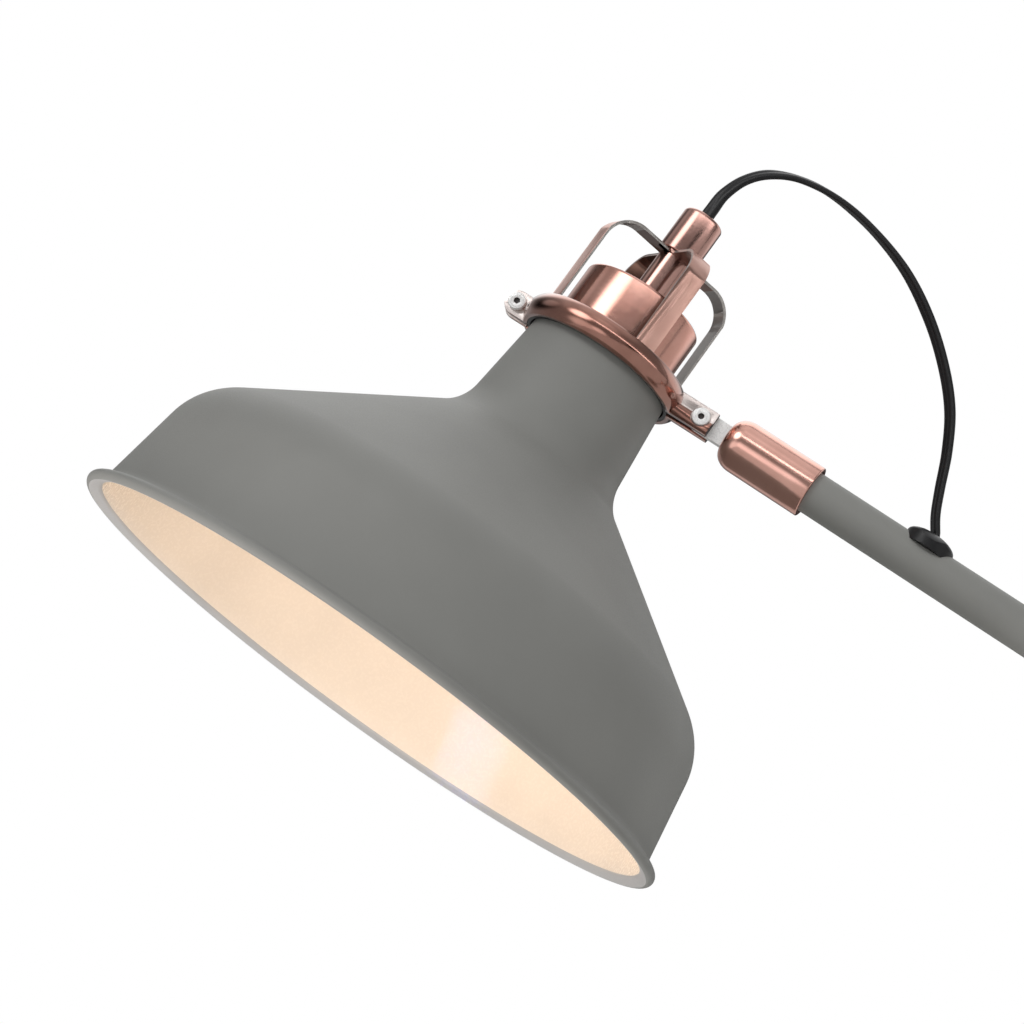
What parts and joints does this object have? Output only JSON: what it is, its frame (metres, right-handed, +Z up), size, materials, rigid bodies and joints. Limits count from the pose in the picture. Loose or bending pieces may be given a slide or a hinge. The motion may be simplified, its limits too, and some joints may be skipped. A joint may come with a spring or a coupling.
{
  "type": "desk lamp",
  "caption": "Architect desk lamp: round weighted base, two knuckle-jointed arms, spun metal shade held in a copper clamp ring under a strap cage.",
  "frame": {"origin": "middle of the base's underside, on the surface that the lamp stands on", "axes": "+Z up; the lamp plane is XZ, with the shade towards -X and the elbow leaning towards +X"},
  "size_m": [0.5155, 0.25, 0.6745],
  "materials": {
    "copper": "brushed copper plating with a warm antique tone",
    "sand_grey_paint": "matte sand grey powder coat; the inside of the shade is satin warm white",
    "bright_steel": "bright zinc plated",
    "black_rubber": "satin black",
    "black_plastic": "matte black",
    "brass": "plain machined brass",
    "white_plastic": "heat resistant white thermoplastic",
    "cast_iron": "rough cast",
    "zinc_steel": "zinc plated sheet"
  },
  "bodies": {
    "base": {"foot_pad": "black_rubber", "base_plate": "zinc_steel", "plate_screws": "bright_steel", "base_weight": "cast_iron", "base_shell": "sand_grey_paint", "lead_gland": "black_plastic", "swivel_bush": "copper", "bush_nut": "bright_steel"},
    "turret": {"swivel_spindle": "bright_steel", "spindle_washer": "bright_steel", "spindle_nut": "bright_steel", "swivel_post": "copper", "post_sleeve": "copper", "shoulder_bolt": "bright_steel"},
    "shoulder_knob": {"shoulder_knob": "copper"},
    "lower_arm": {"shoulder_eye": "copper", "shoulder_washers": "black_plastic", "lower_bottom_sleeve": "copper", "lower_tube": "sand_grey_paint", "lower_lead": "black_rubber", "lower_top_sleeve": "copper", "elbow_fork": "copper", "elbow_bolt": "bright_steel"},
    "elbow_knob": {"elbow_knob": "copper"},
    "upper_arm": {"elbow_eye": "copper", "elbow_washers": "black_plastic", "elbow_sleeve": "copper", "upper_tube": "sand_grey_paint", "upper_lead": "black_rubber", "cord_grommet": "black_rubber", "head_sleeve": "copper", "head_tongue": "bright_steel"},
    "head": {"tilt_washers": "black_plastic", "tilt_screw": "bright_steel", "tilt_nut": "bright_steel", "clamp_front": "copper", "clamp_rear": "copper", "clamp_liner": "black_rubber", "clamp_screw": "bright_steel", "clamp_nut": "bright_steel", "shade": "sand_grey_paint", "cage": "copper", "lamp_cup": "copper", "stem": "copper", "cord_cap": "copper", "cap_bush": "black_plastic", "hollow_nipple": "brass", "nipple_nut": "brass", "holder_body": "white_plastic", "thread_shell": "brass", "centre_contact": "brass", "side_contact": "brass", "holder_ring": "white_plastic", "cord_tail": "black_rubber", "head_cord": "black_rubber"}
  },
  "joints": [
    {"name": "base_swivel", "type": "hinge", "parent": "base", "child": "turret", "pos_m": [0, 0, 0.0265], "axis": [0, 0, 1], "range_deg": [-170, 170]},
    {"name": "shoulder_tilt", "type": "hinge", "parent": "turret", "child": "lower_arm", "pos_m": [0, 0, 0.072], "axis": [0, -1, 0], "range_deg": [-25, 35]},
    {"name": "shoulder_knob_turn", "type": "hinge", "parent": "turret", "child": "shoulder_knob", "pos_m": [0, 0, 0.072], "axis": [0, -1, 0], "range_deg": [0, 360]},
    {"name": "elbow_bend", "type": "hinge", "parent": "lower_arm", "child": "upper_arm", "pos_m": [0.08282, 0, 0.3811], "axis": [0, 1, 0], "range_deg": [-40, 50]},
    {"name": "elbow_knob_turn", "type": "hinge", "parent": "lower_arm", "child": "elbow_knob", "pos_m": [0.08282, 0, 0.3811], "axis": [0, -1, 0], "range_deg": [0, 360]},
    {"name": "head_tilt", "type": "hinge", "parent": "upper_arm", "child": "head", "pos_m": [-0.18449, 0, 0.5746], "axis": [0, -1, 0], "range_deg": [-55, 45], "deforming": ["head_cord"]}
  ]
}
